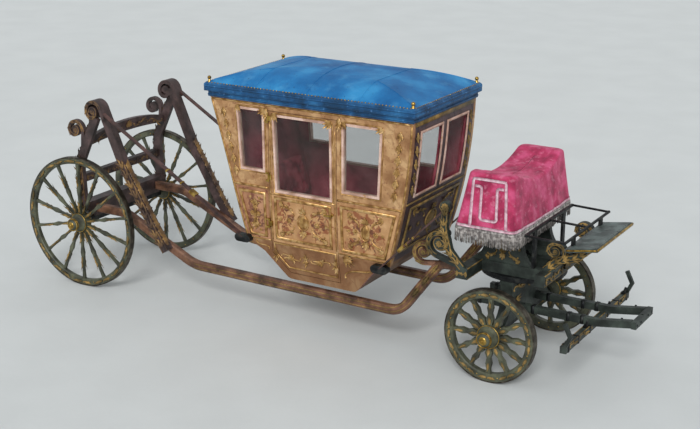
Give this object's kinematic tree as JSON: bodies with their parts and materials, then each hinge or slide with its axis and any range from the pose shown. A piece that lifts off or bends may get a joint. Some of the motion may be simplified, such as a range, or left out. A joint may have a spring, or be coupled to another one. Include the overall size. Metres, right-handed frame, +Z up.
{
  "type": "horse-drawn state coach",
  "caption": "Closed four-wheeled horse-drawn coach with gilded panels, blue roof, crimson coachman's seat, crane-neck perches and a turning fore carriage.",
  "frame": {"origin": "ground under the middle of the overall length and width", "axes": "+X towards the pole, +Y to the coach's left, +Z up"},
  "size_m": [7.025, 1.81, 2.692],
  "materials": {
    "gilded_panel": "painted and gilded, satin",
    "maroon_panel": "painted, satin",
    "window_frame": "painted, satin",
    "roof_leather": "dressed leather, polished",
    "cornice_blue": "painted, gloss",
    "brass": "polished",
    "glass": "clear",
    "perch_wood": "painted, satin",
    "gear_wood": "carved and painted, satin",
    "gear_green": "carved and painted, satin",
    "iron": "painted, satin",
    "strap_leather": "harness leather",
    "wheel_wood": "painted with gilding, satin",
    "tyre_iron": "worn",
    "floor_boards": "oiled",
    "lining": "silk lining",
    "crimson_velvet": "velvet",
    "hammercloth": "broadcloth",
    "fringe": "silver thread fringe"
  },
  "bodies": {
    "coach": {"perches": "perch_wood", "rear_axle": "iron", "rear_bed": "gear_wood", "rear_standards": "gear_wood", "rear_rails": "gear_wood", "front_bed": "gear_green", "turntable_upper_ring": "iron", "king_pin": "iron", "front_standards": "gear_green", "braces": "strap_leather", "body_loops": "iron", "rear_quarter_panels": "gilded_panel", "front_quarter_panels": "gilded_panel", "door_headers": "gilded_panel", "door_sills": "gilded_panel", "floor": "floor_boards", "rear_wall": "gilded_panel", "ceiling": "lining", "front_wall": "maroon_panel", "body_glass": "glass", "quarter_window_frames": "window_frame", "hinge_pins": "brass", "cornice": "cornice_blue", "roof_dome": "roof_leather", "roof_knobs": "brass", "benches": "floor_boards", "seat_cushions": "crimson_velvet", "back_cushions": "crimson_velvet", "hammercloth": "hammercloth", "hammercloth_fringe": "fringe", "seat_box": "floor_boards", "seat_stand": "gear_green", "foot_rails": "iron", "foot_stays": "iron", "foot_brackets": "gear_green", "footboard": "gear_green"},
    "fore_carriage": {"fore_bolster": "gear_green", "turntable_lower_ring": "iron", "futchells": "gear_green", "pole_jaw": "gear_green", "splinter_bar": "gear_green", "trace_bolts": "iron", "front_axle": "iron"},
    "door_right": {"door_right": "gilded_panel", "door_window_frame_right": "window_frame", "door_glass_right": "glass", "door_fittings_right": "brass"},
    "front_right_wheel": {"front_right_wheel": "wheel_wood", "front_right_tyre": "tyre_iron"},
    "rear_right_wheel": {"rear_right_wheel": "wheel_wood", "rear_right_tyre": "tyre_iron"},
    "door_left": {"door_left": "gilded_panel", "door_window_frame_left": "window_frame", "door_glass_left": "glass", "door_fittings_left": "brass"},
    "front_left_wheel": {"front_left_wheel": "wheel_wood", "front_left_tyre": "tyre_iron"},
    "rear_left_wheel": {"rear_left_wheel": "wheel_wood", "rear_left_tyre": "tyre_iron"}
  },
  "joints": [
    {"name": "steer", "type": "hinge", "parent": "coach", "child": "fore_carriage", "pos_m": [2.2785, 0, 0.925], "axis": [0, 0, 1], "range_deg": [-30, 30]},
    {"name": "front_right_wheel_spin", "type": "hinge", "parent": "fore_carriage", "child": "front_right_wheel", "pos_m": [2.2785, -0.74, 0.463], "axis": [0, 1, 0], "continuous": true},
    {"name": "rear_right_wheel_spin", "type": "hinge", "parent": "coach", "child": "rear_right_wheel", "pos_m": [-2.7675, -0.74, 0.745], "axis": [0, 1, 0], "continuous": true},
    {"name": "door_right_hinge", "type": "hinge", "parent": "coach", "child": "door_right", "pos_m": [-0.2545, -0.677, 1.62], "axis": [0, 0, -1], "range_deg": [0, 85]},
    {"name": "front_left_wheel_spin", "type": "hinge", "parent": "fore_carriage", "child": "front_left_wheel", "pos_m": [2.2785, 0.74, 0.463], "axis": [0, 1, 0], "continuous": true},
    {"name": "rear_left_wheel_spin", "type": "hinge", "parent": "coach", "child": "rear_left_wheel", "pos_m": [-2.7675, 0.74, 0.745], "axis": [0, 1, 0], "continuous": true},
    {"name": "door_left_hinge", "type": "hinge", "parent": "coach", "child": "door_left", "pos_m": [-0.2545, 0.677, 1.62], "axis": [0, 0, 1], "range_deg": [0, 85]}
  ]
}
